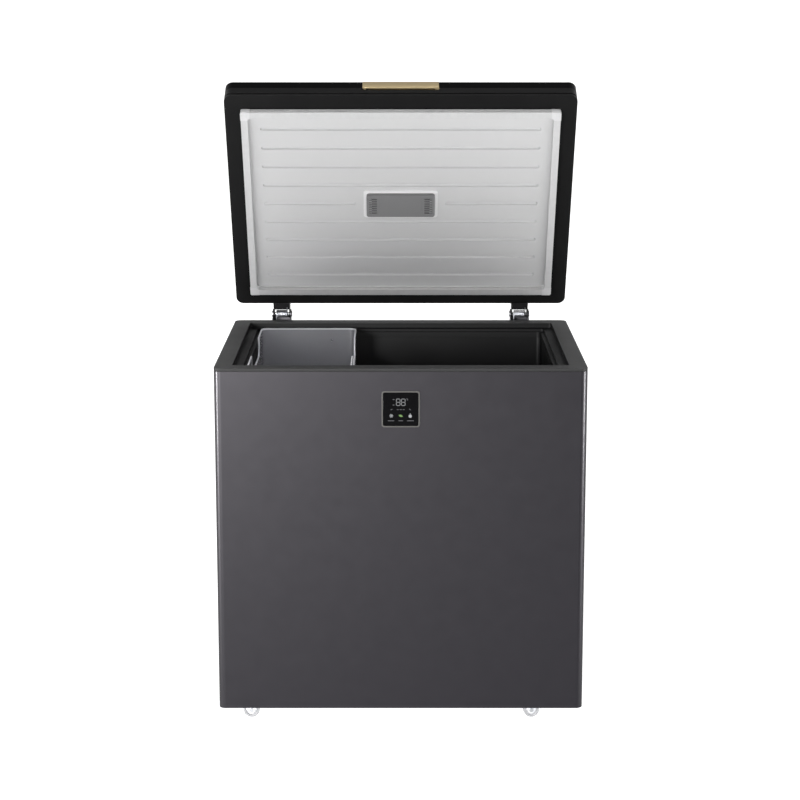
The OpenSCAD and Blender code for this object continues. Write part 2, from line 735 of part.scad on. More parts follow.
control_box_size = [bezel_w + 9, bezel_h + 8];
glass_size = [bezel_w - 2 * bezel_border, bezel_h - 2 * bezel_border];
board_y = 14;

module control_box() color("#2b2b2d") difference() {
    front_plate(0, control_z, control_box_size, 4, sheet_t, sheet_t + control_d);
    front_plate(0, control_z, control_box_size - [4, 4], 3, sheet_t - eps, sheet_t + control_d - 2);
}

module control_board() color("#2f6b45")
    front_plate(0, control_z, control_box_size - [6, 6], 2, board_y, board_y + 1.6);

module digit_display() color("#141416")
    box([-17, board_y - 8, control_z + 6], [17, board_y, control_z + 28]);

module touch_sensors() color("#c7a24a") for (x = [-22, 0, 22])
    rod_y([x, 1.8, control_z - 17], 3.5, board_y - 1.8);

module control_glass() color("#08080a") front_plate(0, control_z, glass_size, 4, -bezel_proud + 0.3, 1.5);

module control_bezel() color("#77736d") {
    difference() {
        front_plate(0, control_z, [bezel_w, bezel_h], 6, -bezel_proud, 0);
        front_plate(0, control_z, glass_size + [fit * 2, fit * 2], 4, -bezel_proud - eps, eps);
    }
    difference() {
        front_plate(0, control_z, [opening_w - fit, opening_h - fit], 3, -bezel_proud, sheet_t);
        front_plate(0, control_z, glass_size + [fit * 2, fit * 2], 4, -bezel_proud - eps, sheet_t + eps);
    }
}

harness_route = [
    [control_box_size[0] / 2, 20, control_z],
    [control_box_size[0] / 2 + 40, 20, control_z],
    [comp_x + 70, hood_in + 40, control_z - 40],
    [comp_x + 70, hood_in + 40, z_hood - 16],
    [comp_x + 36, power_at[1] - 30, z_hood - 30],
    [comp_x + 24, power_at[1] - 16, power_at[2] + 60],
    [comp_x + 24, power_at[1], power_at[2] + 60]
];
module control_harness() color("#d0d0cc") tube_along(filleted(harness_route, 10), pipe_r);

// ---------- temperature sensor ----------

sensor_at = [cabinet_w / 2 - in_well, cabinet_d / 2, z_step_floor + 170];

module sensor_cover() color("#c9cacc") translate(sensor_at) difference() {
    translate([-12, -25, -30]) cube([12, 50, 60]);
    translate([-10, -23, -28]) cube([10 + eps, 46, 56]);
    for (i = [-3 : 3]) translate([-13, -18, i * 7 - 1.5]) cube([4, 36, 3]);
}

module temperature_sensor() color("#b7babd") translate(sensor_at) {
    translate([-4, 0, -18]) cylinder(h = 36, r = 3);
    translate([-8, -5, -6]) cube([8, 10, 3]);
}

// ---------- hinges ----------

hinge_screw_len = 12;
ear_gap = 1;
arm_half = hinge_w / 2 - hinge_t - ear_gap;
spring_pitch = wire_d + 0.5;
stop_pin = [pivot_y - spring_r + wire_d / 2 + embed + 2.5, pivot_z - 32];

// One hinge on each side
module both_hinges() for (side = [-1, 1]) translate([side * hinge_x, 0, 0]) children();

// A shape drawn in y and z, given a thickness along x
module upright(x, t) translate([x, 0, 0]) rotate([90, 0, 90]) linear_extrude(t) children();

module hinge_brackets() color("#8d9094") both_hinges() difference() {
    union() {
        box([-hinge_w / 2, cabinet_d, z_rim - bracket_len],
            [hinge_w / 2, cabinet_d + hinge_t, z_rim - 8]);
        box([-hinge_w / 2, pivot_y + bracket_web[0], z_rim - 30],
            [hinge_w / 2, pivot_y + bracket_web[1], pivot_z - 4]);
        for (x = [-hinge_w / 2, hinge_w / 2 - hinge_t]) upright(x, hinge_t) {
            polygon([[cabinet_d, z_rim - bracket_len], [cabinet_d + 14, z_rim - bracket_len],
                     [pivot_y + bracket_web[1], z_rim - 30],
                     [pivot_y + bracket_web[1], pivot_z - 4], [pivot_y + 11, pivot_z],
                     [pivot_y - 12, pivot_z], [cabinet_d, z_rim - 8]]);
            translate([pivot_y, pivot_z]) circle(12);
        }
    }
    rod_x([-hinge_w, pivot_y, pivot_z], pin_r + 0.02, 2 * hinge_w);
    rod_x([-hinge_w, stop_pin[0], stop_pin[1]], 2.52, 2 * hinge_w);
    for (dx = [-1, 1], z = hinge_screw_z)
        rod_y([dx * hinge_screw_dx, cabinet_d - eps, z], hinge_screw_r + fit, hinge_t + 2 * eps);
}

module hinge_pins() color("#c9ccd0") both_hinges() {
    rod_x([-hinge_w / 2 - 2, pivot_y, pivot_z], pin_r, hinge_w + 4);
    rod_x([-hinge_w / 2 - 2, stop_pin[0], stop_pin[1]], 2.5, hinge_w + 4);
    for (x = [-hinge_w / 2 - 2, hinge_w / 2]) {
        rod_x([x, pivot_y, pivot_z], 7, 2);
        rod_x([x, stop_pin[0], stop_pin[1]], 4.5, 2);
    }
}

// Torsion spring round the pin: one leg down to the stop pin, one along the lid arm
spring_end = -90 - lid_open - 360 * spring_turns;
spring_steps = 14 * spring_turns;
leg_dir = [0, -cos(lid_open), sin(lid_open)];
function spring_point(s) = let (a = 180 + (spring_end - 180) * s,
    half = spring_pitch * (spring_turns + 0.6) / 2)
    [-half + 2 * half * s, pivot_y + spring_r * cos(a), pivot_z + spring_r * sin(a)];
spring_route = concat(
    [spring_point(0) - [0, 0, 38]],
    [for (i = [0 : spring_steps]) spring_point(i / spring_steps)],
    [spring_point(1) + leg_dir * 26]
);
module hinge_springs() color("#9a9da1") both_hinges() tube_along(spring_route, wire_d / 2);

module hinge_backing_plates() color("#8d9094") difference() {
    hinge_backing(-fit);
    hinge_screw_places() rod_y([0, -20, 0], hinge_screw_r + fit, 20);
}

module hinge_bracket_screws() color("#c2c5c9") hinge_screw_places() {
    rod_y([0, -hinge_screw_len, 0], hinge_screw_r, hinge_screw_len + hinge_t);
    rod_y([0, hinge_t, 0], 4.6, 3);
}

// ---------- rollers ----------

roller_gap = 1.4;
ear_t = 1.6;
axle_half = roller_w / 2 + roller_gap + ear_t;

module roller_brackets() color("#8d9094") for (spot = roller_spots) translate([spot[0], spot[1], 0])
    difference() {
        union() {
            translate([0, 0, z_base - roller_plate_t]) linear_extrude(roller_plate_t)
                rounded_rect(roller_plate, 4);
            for (y = [-axle_half, axle_half - ear_t]) {
                translate([-11, y, roller_r]) cube([22, ear_t, z_base - roller_r]);
                rod_y([0, y, roller_r], 8, ear_t);
            }
        }
        rod_y([0, -axle_half - eps, roller_r], axle_r + 0.02, 2 * axle_half + 2 * eps);
        for (sx = [-1, 1], sy = [-1, 1])
            translate([sx * roller_screw_at[0], sy * roller_screw_at[1], z_base - roller_plate_t - eps])
                cylinder(h = roller_plate_t + 2 * eps, r = roller_screw_r + fit / 2);
    }

module roller_axles() color("#c2c5c9") for (spot = roller_spots)
    translate([spot[0], spot[1], roller_r]) {
        rod_y([0, -axle_half - 1.5, 0], axle_r, 2 * axle_half + 3);
        for (y = [-axle_half - 1.5, axle_half]) rod_y([0, y, 0], axle_r + 2, 1.5);
    }

module roller_screws() color("#c2c5c9") roller_screw_places() {
    translate([0, 0, z_base - roller_plate_t]) cylinder(h = roller_plate_t + tray_t, r = roller_screw_r);
    translate([0, 0, z_base - roller_plate_t - 2.4]) cylinder(h = 2.4, r = 3.4);
}

// A roller with rounded edges and a dished face on both sides
module roller(spot) color("#b4b5b7") translate([spot[0], spot[1], roller_r]) rotate([90, 0, 0])
    rotate_extrude() difference() {
        union() {
            translate([axle_r + axle_play, -roller_w / 2])
                square([roller_r - axle_r - axle_play - 2, roller_w]);
            translate([roller_r - 4, -roller_w / 2 + 2]) square([4, roller_w - 4]);
            for (y = [-1, 1]) translate([roller_r - 2, y * (roller_w / 2 - 2)]) circle(2);
        }
        for (y = [-1, 1]) translate([8, y * roller_w / 2 - 2]) square([5.5, 4]);
    }

// ---------- basket ----------

basket_top = z_step + basket_up;
hook_h = 2.5;
basket_left = -(cabinet_w / 2 - in_lip) + basket_play;
basket_x = basket_left + basket_w / 2;
basket_front = in_lip + basket_play;
basket_len = cabinet_d - 2 * basket_front;

module basket() color("#8f9196", 0.5) difference() {
    union() {
        translate([basket_x, cabinet_d / 2, basket_top - basket_h]) linear_extrude(basket_h)
            rounded_rect([basket_w, basket_len], 16);
        // hooks on the basket step, front and back
        for (far = [0, 1]) translate([0, cabinet_d / 2, 0]) mirror([0, far, 0])
            translate([basket_x - basket_w / 2 + 14, in_ledge + 2 - cabinet_d / 2, z_step])
                cube([basket_w - 28, basket_front - in_ledge, hook_h]);
    }
    translate([basket_x, cabinet_d / 2, basket_top - basket_h + basket_t]) linear_extrude(basket_h)
        rounded_rect([basket_w - 2 * basket_t, basket_len - 2 * basket_t], 16 - basket_t);
    // hand dip, through both side walls, with rounded lower corners
    translate([basket_x - basket_w, basket_front + basket_len * 0.5, basket_top])
        rotate([90, 0, 90]) linear_extrude(basket_w * 2)
            rounded_rect([basket_len * 0.5, dip_h * 2], 18);
    // drain slots in the floor
    for (i = [-5 : 5], j = [-1, 1])
        translate([basket_x + j * 52 - 38, cabinet_d / 2 + i * 36 - 4, basket_top - basket_h - eps])
            cube([76, 8, basket_t + 2 * eps]);
}

// ---------- lid, drawn shut ----------

z_frame_top = z_lid + lid_frame_h;
slot_w = 3;
arm_screw_z = [z_lid + 17, z_lid + 43];
arm_screw_dx = 9;
arm_screw_len = 14;
handle_z = z_lid_top - handle_h;
z_pull = handle_z - pull_h;
rib_pitch = (cabinet_d - 2 * rib_margin) / (rib_count - 1);
rib_half = cabinet_w / 2 - rib_side;
deo_gap = deo_w / 2 + 29;
in_wall = lid_in + lid_groove_d + lid_wall;

module arm_screw_places() both_hinges() for (dx = [-1, 1], z = arm_screw_z)
    translate([dx * arm_screw_dx, cabinet_d - lid_in, z]) children();

module arm_screw_holes(r) arm_screw_places() rod_y([0, -arm_screw_len - fit, 0], r, arm_screw_len + 3);

// Pocket for the handle insert, with room for fingers below it
module handle_pocket() box([-handle_w / 2, -5, z_pull],
    [handle_w / 2, lid_in + handle_d, z_lid_top + 5]);
module pocket_lining() box([-handle_w / 2 - lid_plate_t, lid_in, z_pull - lid_plate_t],
    [handle_w / 2 + lid_plate_t, lid_in + handle_d + lid_plate_t, z_frame_top]);

// The pressed grooves, of a radius; the middle one stops at the deodoriser
module ribs(r) for (i = [0 : rib_count - 1]) {
    y = rib_margin + i * rib_pitch;
    middle = i == (rib_count - 1) / 2;
    for (side = [-1, 1]) {
        start = middle ? deo_gap : 0;
        translate([side * (start + rib_half) / 2, y, z_lid]) {
            rotate([0, 90, 0]) cylinder(h = rib_half - start, r = r, center = true);
            translate([side * (rib_half - start) / 2, 0, 0]) sphere(r);
            if (middle) translate([-side * (rib_half - start) / 2, 0, 0]) sphere(r);
        }
    }
}

module lid_top_panel() color("#1d1d20") difference() {
    union() {
        slab(lid_in, lid_r, z_lid_top - sheet_t, z_lid_top);
        ring(lid_in, lid_r, lid_in + sheet_t, lid_r - sheet_t, z_frame_top, z_lid_top);
    }
    handle_pocket();
    arm_screw_holes(hinge_screw_r + fit);
}

module lid_frame() color("#242427") difference() {
    union() {
        ring(lid_in, lid_r, in_slot - slot_w / 2, frame_inner_r + 2, z_lid, z_lid + lid_plate_t);
        ring(lid_in, lid_r, in_wall, lid_r - lid_wall - lid_groove_d, z_lid, z_lid + lid_groove_z);
        ring(lid_in + lid_groove_d, lid_r - lid_groove_d, in_wall, lid_r - lid_wall - lid_groove_d,
             z_lid, z_lid + lid_groove_z + lid_groove_h + 1.5);
        ring(lid_in, lid_r, in_wall, lid_r - lid_wall - lid_groove_d,
             z_lid + lid_groove_z + lid_groove_h, z_lid + lid_groove_z + lid_groove_h + 1.5);
        ring(lid_in, lid_r, lid_in + lid_wall, lid_r - lid_wall,
             z_lid + lid_groove_z + lid_groove_h, z_frame_top);
        pocket_lining();
    }
    handle_pocket();
    arm_screw_holes(hinge_screw_r + fit);
}

z_groove_top = z_lid + lid_groove_z + lid_groove_h + 1.5;
lid_backing = [56, 3, 38];

module lid_backing_block(grow) both_hinges()
    translate([0, cabinet_d - lid_in - lid_wall - 2 - lid_backing[1] / 2, z_lid + 32])
        cube(lid_backing + [grow, grow, grow], center = true);

module lid_foam() color("#e4d9a8") difference() {
    union() {
        slab(in_wall, lid_r - lid_wall - lid_groove_d, z_lid + lid_plate_t, z_groove_top);
        slab(lid_in + lid_wall, lid_r - lid_wall, z_groove_top, z_frame_top);
        slab(lid_in + sheet_t, lid_r - sheet_t, z_frame_top, z_lid_top - sheet_t);
    }
    ribs(rib_r + lid_plate_t + embed);
    ring(in_slot - slot_w / 2 - fit, frame_inner_r, in_slot + slot_w / 2 + fit, frame_inner_r - 2,
         z_lid, z_lid + 6);
    handle_pocket();
    pocket_lining();
    lid_backing_block(0);
    arm_screw_holes(hinge_screw_r + fit);
}

module lid_backing_plates() color("#8d9094") difference() {
    lid_backing_block(-fit);
    arm_screw_holes(hinge_screw_r + fit);
}

module lid_liner() color("#e6e7e9") difference() {
    union() {
        slab(in_slot + slot_w / 2, frame_inner_r, z_lid, z_lid + lid_plate_t);
        intersection() {
            ribs(rib_r + lid_plate_t);
            slab(in_slot, 4, z_lid, z_lid + 20);
        }
    }
    ribs(rib_r);
}

gasket_h = lid_gap + land_drop - gasket_clear;
corner_span = gasket_corner + in_gasket;
module gasket_middle() {
    box([-cabinet_w / 2 + corner_span, 0, 0], [cabinet_w / 2 - corner_span, cabinet_d, z_lid_top]);
    box([-cabinet_w / 2, corner_span, 0], [cabinet_w / 2, cabinet_d - corner_span, z_lid_top]);
}

// Magnetic strips with a bellows groove, and a barb that pushes into the lid
module lid_gasket() color("#eeeff0") intersection() {
    difference() {
        union() {
            ring(in_gasket, 4, in_gasket + gasket_w, 4, z_lid - gasket_h, z_lid);
            ring(in_slot - slot_w / 2 + fit, 4, in_slot + slot_w / 2 - fit, 4, z_lid - eps, z_lid + 5);
        }
        ring(in_gasket - 1, 4, in_gasket + 3, 4, z_lid - gasket_h * 0.6, z_lid - gasket_h * 0.35);
        ring(in_gasket + gasket_w - 3, 4, in_gasket + gasket_w + 1, 4,
             z_lid - gasket_h * 0.6, z_lid - gasket_h * 0.35);
    }
    gasket_middle();
}

module gasket_corners() color("#e2e3e5") difference() {
    ring(in_gasket - corner_proud, gasket_corner_r, in_gasket + gasket_w + corner_proud, 3,
         z_lid - gasket_h, z_lid);
    gasket_middle();
}
corner_proud = 0.8;
gasket_corner_r = frame_inner_r - gasket_play;

module vent_valve() color("#161618") box([-30, cabinet_d - land_w - 1, z_lid - 3],
    [30, cabinet_d - land_w + 5, z_lid]);

// The face bulges gently and the pull is hollowed from below
module handle_insert() color("#c8b084") difference() {
    intersection() {
        upright(-handle_w / 2 + fit, handle_w - 2 * fit) intersection() {
            translate([lid_in - handle_bulge, handle_z + fit])
                square([handle_d + handle_bulge - fit, handle_h - fit]);
            translate([lid_in - handle_bulge + 90, handle_z + handle_h / 2]) circle(90, $fn = 180);
        }
        box([-handle_w, -10, 0], [handle_w, 60, z_lid_top]);
    }
    box([-handle_w / 2 + 8, lid_in + 2, handle_z - eps],
        [handle_w / 2 - 8, lid_in + handle_d - 2, handle_z + handle_h - 6]);
}

deo_y = cabinet_d / 2;
deo_z = z_lid - deo_base_t;

module deo_plate(size, r, low, high) translate([0, deo_y, low]) linear_extrude(high - low)
    rounded_rect(size, r);

module deodoriser_base() color("#f1f2f3")
    deo_plate([deo_w + 2 * deo_border, deo_h + 2 * deo_border + 2], 7, deo_z, z_lid);

module deodoriser_cover() color("#87888b") difference() {
    deo_plate([deo_w, deo_h], 6, deo_z - deo_d, deo_z);
    deo_plate([deo_w - 4, deo_h - 4], 4, deo_z - deo_d + 2, deo_z + eps);
    for (x = [-1, 1]) translate([x * 50 - 0.6, deo_y - deo_h / 2 + 4, deo_z - deo_d - eps])
        cube([1.2, deo_h - 8, 0.8 + eps]);
    for (i = [-3 : 3], side = [-1, 1])
        translate([side * 65 - 9, deo_y + i * 6.5 - 1.2, deo_z - deo_d - eps]) cube([18, 2.4, 2 + 2 * eps]);
}

module carbon_filter() color("#202022")
    deo_plate([deo_w - 24, deo_h - 16], 3, deo_z - deo_d + 3.5, deo_z);

flange_z = pivot_z - spring_r + wire_d / 2 + embed;

// Lid arm: a plate on the lid's back edge, a folded flange for the spring, and two ears
module hinge_arms() color("#7d8084") both_hinges() {
    difference() {
        union() {
            box([-arm_half, cabinet_d - lid_in, flange_z],
                [arm_half, cabinet_d - lid_in + hinge_t, z_lid + 50]);
            box([-arm_half, cabinet_d - lid_in, flange_z],
                [arm_half, cabinet_d + 16, flange_z + hinge_t]);
            for (x = [-arm_half, arm_half - hinge_t]) upright(x, hinge_t) {
                polygon([[cabinet_d - lid_in, flange_z], [pivot_y, flange_z - 2],
                         [pivot_y + 8, pivot_z + 6], [cabinet_d + 8, z_lid + 50],
                         [cabinet_d - lid_in, z_lid + 50]]);
                translate([pivot_y, pivot_z]) circle(11);
            }
        }
        rod_x([-hinge_w, pivot_y, pivot_z], pin_r + pin_play, 2 * hinge_w);
        for (dx = [-1, 1], z = arm_screw_z) rod_y([dx * arm_screw_dx, cabinet_d - lid_in - eps, z],
            hinge_screw_r + fit, hinge_t + 2 * eps);
    }
    for (dx = [-1, 1], z = arm_screw_z) translate([dx * arm_screw_dx, cabinet_d - lid_in, z]) {
        rod_y([0, -arm_screw_len, 0], hinge_screw_r, arm_screw_len + hinge_t);
        rod_y([0, hinge_t, 0], 4.6, 3);
    }
}

// ---------- nodes ----------

placed() outer_shell();
placed() back_panel();
placed() base_tray();
placed() cabinet_foam();
placed() top_frame();
placed() inner_liner();
placed() compressor_hood();
placed() compressor();
placed() compressor_plate();
placed() compressor_grommets();
placed() compressor_bolts();
placed() compressor_nuts();
placed() relay_cover();
placed() filter_drier();
placed() condenser_coil();
placed() evaporator_coil();
placed() power_box();
placed() power_board();
placed() side_grille();
placed() rear_cover();
placed() rear_cover_screws();
placed() cord_gland();
placed() control_box();
placed() control_board();
placed() digit_display();
placed() touch_sensors();
placed() control_glass();
placed() control_bezel();
placed() control_harness();
placed() temperature_sensor();
placed() sensor_cover();
placed() drain_tube();
placed() drain_plug();
placed() drain_cap();
placed() hinge_backing_plates();
placed() hinge_brackets();
placed() hinge_pins();
placed() hinge_springs();
placed() hinge_bracket_screws();
placed() roller_brackets();
placed() roller_axles();
placed() roller_screws();
placed() roller(roller_spots[0]);  // roller_front_left
placed() roller(roller_spots[1]);  // roller_front_right
placed() roller(roller_spots[2]);  // roller_rear_left
placed() roller(roller_spots[3]);  // roller_rear_right
placed() basket();
opened() lid_top_panel();
opened() lid_frame();
opened() lid_foam();
opened() lid_liner();
opened() lid_gasket();
opened() gasket_corners();
opened() vent_valve();
opened() handle_insert();
opened() deodoriser_base();
opened() deodoriser_cover();
opened() carbon_filter();
opened() lid_backing_plates();
opened() hinge_arms();
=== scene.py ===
# %% [markdown]
# # A chest freezer with its lid open
# The measured model comes first, as a fixed frame that nothing here moves.
# The script then gives every piece its finish, adds the pieces that are too fine for the measured
# model, such as the glowing digits, and sets up a plain studio.

# %% Load the frame
import math

import bmesh
import bpy
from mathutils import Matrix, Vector


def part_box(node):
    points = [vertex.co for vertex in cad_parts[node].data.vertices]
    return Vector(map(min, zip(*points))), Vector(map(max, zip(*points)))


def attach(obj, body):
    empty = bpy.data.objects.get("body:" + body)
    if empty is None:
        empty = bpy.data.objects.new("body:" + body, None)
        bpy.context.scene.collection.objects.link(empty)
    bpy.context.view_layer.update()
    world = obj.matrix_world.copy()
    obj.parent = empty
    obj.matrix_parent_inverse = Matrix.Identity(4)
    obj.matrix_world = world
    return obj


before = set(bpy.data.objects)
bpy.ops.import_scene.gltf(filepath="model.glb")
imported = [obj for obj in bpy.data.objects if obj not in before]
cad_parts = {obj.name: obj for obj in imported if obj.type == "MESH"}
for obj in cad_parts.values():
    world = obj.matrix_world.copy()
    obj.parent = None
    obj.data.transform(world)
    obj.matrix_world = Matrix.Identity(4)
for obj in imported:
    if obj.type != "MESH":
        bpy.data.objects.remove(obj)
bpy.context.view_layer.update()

# %% [markdown]
# ## The camera
# The freezer is seen square on from the front and from a little above, with a long lens from about
# four metres away, so that its sides hardly converge. A short lens from nearer would show more of
# the well, but it would also spread the lid. The distances are in metres from the front of the
# steel body and from its lower edge. A small lens shift puts the freezer in the middle of the
# frame, as it would with a view camera.

# %% Camera
MM = 0.001
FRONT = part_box("outer_shell")[0].y
FLOOR_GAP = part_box("outer_shell")[0].z
CAMERA_AWAY = 4.158
CAMERA_UP = 1.6175
CAMERA_ASIDE = -0.0016
PITCH = 0.184
LENS = 88.5
SENSOR = 36
SHIFT_UP = -0.08

camera = bpy.data.objects.new("camera", bpy.data.cameras.new("camera"))
bpy.context.collection.objects.link(camera)
camera.location = (CAMERA_ASIDE, FRONT - CAMERA_AWAY, FLOOR_GAP + CAMERA_UP)
camera.rotation_euler = (math.pi / 2 - PITCH, 0, 0)
camera.data.lens = LENS
camera.data.sensor_width = SENSOR
camera.data.shift_y = SHIFT_UP
bpy.context.scene.camera = camera
print("camera at", tuple(round(v, 3) for v in camera.location))

# %% [markdown]
# ## The studio
# Dark appliances are usually lit with large soft boxes. Here each box has one task, so that it can
# be set without spoiling the others. The key box and the sheen box stand to the left of the camera,
# and the sheen box gives the front its slow fall from light to dark. The two strips at the sides
# put a bright line on each rounded corner. The sheen box and the strips show only in the sheen of a
# surface, and the fill box only as soft light, which the lid's white liner needs most. The floor
# and the wall behind are one sheet of milky plastic that is lit from beneath, so the freezer throws
# no shadow on it. A bright world would give the same background, but it would also flatten the
# dark paint.

# %% Studio
ROOM_LIGHT = 0.22

world = bpy.data.worlds.new("soft_room")
bpy.context.scene.world = world
world.use_nodes = True
world.node_tree.nodes["Background"].inputs["Color"].default_value = (1, 1, 1, 1)
world.node_tree.nodes["Background"].inputs["Strength"].default_value = ROOM_LIGHT
bpy.context.scene.view_settings.view_transform = "Standard"


def soft_box(name, place, aim, size, power):
    """An area light of a size in metres and a power in watts, at a place and aimed at another."""
    data = bpy.data.lights.new(name, "AREA")
    data.shape = "RECTANGLE"
    data.size, data.size_y = size
    data.energy = power
    light = bpy.data.objects.new(name, data)
    bpy.context.collection.objects.link(light)
    light.location = place
    light.visible_camera = False
    light.rotation_euler = (Vector(aim) - Vector(place)).to_track_quat("-Z", "Y").to_euler()
    return light


soft_box("key_box", (-1.9, -3.8, 1.6), (-0.2, -0.3, 0.75), (1.0, 0.9), 15)
fill_box = soft_box("fill_box", (0.4, -4.0, 1.3), (0, 0, 1.0), (2.4, 1.4), 58)
fill_box.visible_glossy = False
sheen_box = soft_box("sheen_box", (-1.7, -3.8, 1.3), (-0.3, -0.3, 0.8), (0.8, 0.8), 1280)
soft_box("top_box", (0.2, -0.6, 3.6), (0, 0, 0.6), (2.6, 2.0), 60)
left_strip = soft_box("left_strip", (-2.6, -1.2, 0.62), (-0.4, -0.3, 0.5), (0.34, 1.1), 420)
right_strip = soft_box("right_strip", (2.6, -1.2, 0.62), (0.4, -0.3, 0.5), (0.34, 1.1), 300)
for lamp in (sheen_box, left_strip, right_strip):
    lamp.visible_diffuse = False


def studio_sweep():
    """One sheet that lies on the floor and curves up far behind the freezer."""
    mesh = bmesh.new()
    half, near, far, bend, top, parts = 9.0, -9.0, 5.0, 2.0, 9.0, 12
    angles = [math.pi / 2 * i / parts for i in range(parts + 1)]
    curve = [(far + bend * math.sin(a), bend - bend * math.cos(a)) for a in angles]
    outline = [(near, 0.0)] + curve + [(far + bend, top)]
    rows = [[mesh.verts.new((x, y, z)) for x in (-half, half)] for y, z in outline]
    for low, high in zip(rows, rows[1:]):
        mesh.faces.new((low[0], low[1], high[1], high[0])).smooth = True
    data = bpy.data.meshes.new("studio_sweep")
    mesh.to_mesh(data)
    mesh.free()
    sheet = bpy.data.objects.new("studio_sweep", data)
    bpy.context.collection.objects.link(sheet)
    return sheet


sweep = studio_sweep()
print("studio sheet:", tuple(round(v, 2) for v in sweep.dimensions))

# %% [markdown]
# ## Sums on sockets
# A finish is made of shader nodes. They could be added and linked one by one, but a sum would then
# take many lines. The small class below wraps one socket of a node instead, so that a sum such as
# `1 - mask * 0.3` adds the Math nodes by itself. The Finish class makes every other node through
# one method, and ends in the Principled shader.

# %% Socket sums
class Value:
    """A socket that Python can add, subtract and multiply."""

    def __init__(self, finish, socket):
        self.finish, self.socket = finish, socket

    def math(self, operation, *terms):
        return self.finish.node(
            "ShaderNodeMath", {"operation": operation}, dict(enumerate(terms)))

    def __add__(self, other):
        return self.math("ADD", self, other)

    __radd__ = __add__

    def __sub__(self, other):
        return self.math("SUBTRACT", self, other)

    def __rsub__(self, other):
        return self.math("SUBTRACT", other, self)

    def __mul__(self, other):
        return self.math("MULTIPLY", self, other)

    __rmul__ = __mul__

    def __abs__(self):
        return self.math("ABSOLUTE", self)

    def clamped(self):
        """The same value, kept between zero and one."""
        return self.math("MINIMUM", self.math("MAXIMUM", self, 0.0), 1.0)


class Finish:
    """One material, from its nodes to its Principled shader."""

    def __init__(self, name):
        self.material = bpy.data.materials.new(name)
        self.material.use_nodes = True
        self.tree = self.material.node_tree
        self.tree.nodes.clear()
        self.place = self.node("ShaderNodeTexCoord", output="Object")

    def node(self, kind, settings=None, inputs=None, output=0):
        """A node of a type, with its settings first and then its sockets' values or links."""
        made = self.tree.nodes.new(kind)
        for name, setting in (settings or {}).items():
            setattr(made, name, setting)
        for name, value in (inputs or {}).items():
            if isinstance(value, Value):
                self.tree.links.new(value.socket, made.inputs[name])
            else:
                made.inputs[name].default_value = value
        return Value(self, made.outputs[output]) if made.outputs else made

    def stretched(self, scale):
        """The piece's own coordinates, stretched along the axes."""
        return self.node("ShaderNodeMapping", None, {"Vector": self.place, "Scale": scale})

    def noise(self, scale, detail=2.0, rough=0.5, stretch=(1, 1, 1)):
        return self.node("ShaderNodeTexNoise", None, {
            "Vector": self.stretched(stretch), "Scale": scale, "Detail": detail,
            "Roughness": rough})

    def steps(self, value, low, high):
        """Zero below low, one above high, smooth between."""
        return self.node("ShaderNodeMapRange", {"interpolation_type": "SMOOTHSTEP"}, {
            "Value": value, "From Min": low, "From Max": high})

    def axis(self, name):
        """One of the piece's own coordinates, in metres."""
        return self.node("ShaderNodeSeparateXYZ", None, {0: self.place}, output=name)

    def colour(self, mask, first, second):
        """The first colour where the mask is zero, and the second where it is one."""
        return self.node("ShaderNodeMix", {"data_type": "RGBA"}, {
            0: mask, 6: opaque(first) if isinstance(first, tuple) else first,
            7: opaque(second) if isinstance(second, tuple) else second}, output=2)

    def relief(self, height, depth, edge=0.0):
        """A bump of a depth in metres, on edges that are rounded by a radius."""
        inputs = {"Height": height, "Distance": depth, "Strength": 1.0}
        if edge:
            inputs["Normal"] = self.node("ShaderNodeBevel", {"samples": 4}, {"Radius": edge})
        return self.node("ShaderNodeBump", None, inputs)

    def shader(self, **values):
        """The Principled shader, where Base_Color stands for the socket Base Color."""
        inputs = {name.replace("_", " "): value for name, value in values.items()}
        if isinstance(inputs.get("Base Color"), tuple):
            inputs["Base Color"] = opaque(inputs["Base Color"])
        made = self.node("ShaderNodeBsdfPrincipled", None, inputs)
        self.node("ShaderNodeOutputMaterial", None, {"Surface": made})
        return self.material


def opaque(shade):
    """A colour with its alpha set to one."""
    return (*shade[:3], 1.0)


def tone(shade, factor):
    """The same colour, lighter or darker."""
    return tuple(min(1.0, part * factor) for part in shade[:3])


print("socket sums ready")

# %% [markdown]
# ## The studio sheet's finish
# Milky plastic is not quite even: it has a faint cloudiness and a fine tooth. Both are kept very
# weak here, so that the freezer stays the only thing to look at. Most of the sheet's brightness is
# its own light, so that it stays white however the lamps are set.

# %% Lit sheet
milky = Finish("lit_sheet")
sweep.data.materials.append(milky.shader(
    Base_Color=milky.colour(milky.noise(0.8), (0.5, 0.5, 0.5), (0.55, 0.55, 0.55)),
    Roughness=milky.noise(3.0) * 0.1 + 0.8,
    Emission_Color=milky.colour(milky.noise(0.8), (0.97, 0.97, 0.97), (1, 1, 1)),
    Emission_Strength=0.95,
    Normal=milky.relief(milky.noise(400.0), 0.0001)))
print("lit sheet made")

# %% [markdown]
# ## Painted steel
# The wrap is pre-coated sheet: a dark graphite coat with fine metal flakes under a clear layer. Up
# close it has a slight orange-peel ripple, which softens what it mirrors. The flakes are a fine
# noise in the colour, and the ripple is a bump of a few hundredths of a millimetre. A metallic
# shader would also sparkle, but it would lose the even dark ground, so the coat is a plain paint
# whose sheen has a slight violet cast. The hinges, the lid's pan and the compressor share it.

# %% Painted steel
EDGE = 0.6 * MM
VIOLET_SHEEN = (0.97, 0.93, 1.0, 1.0)


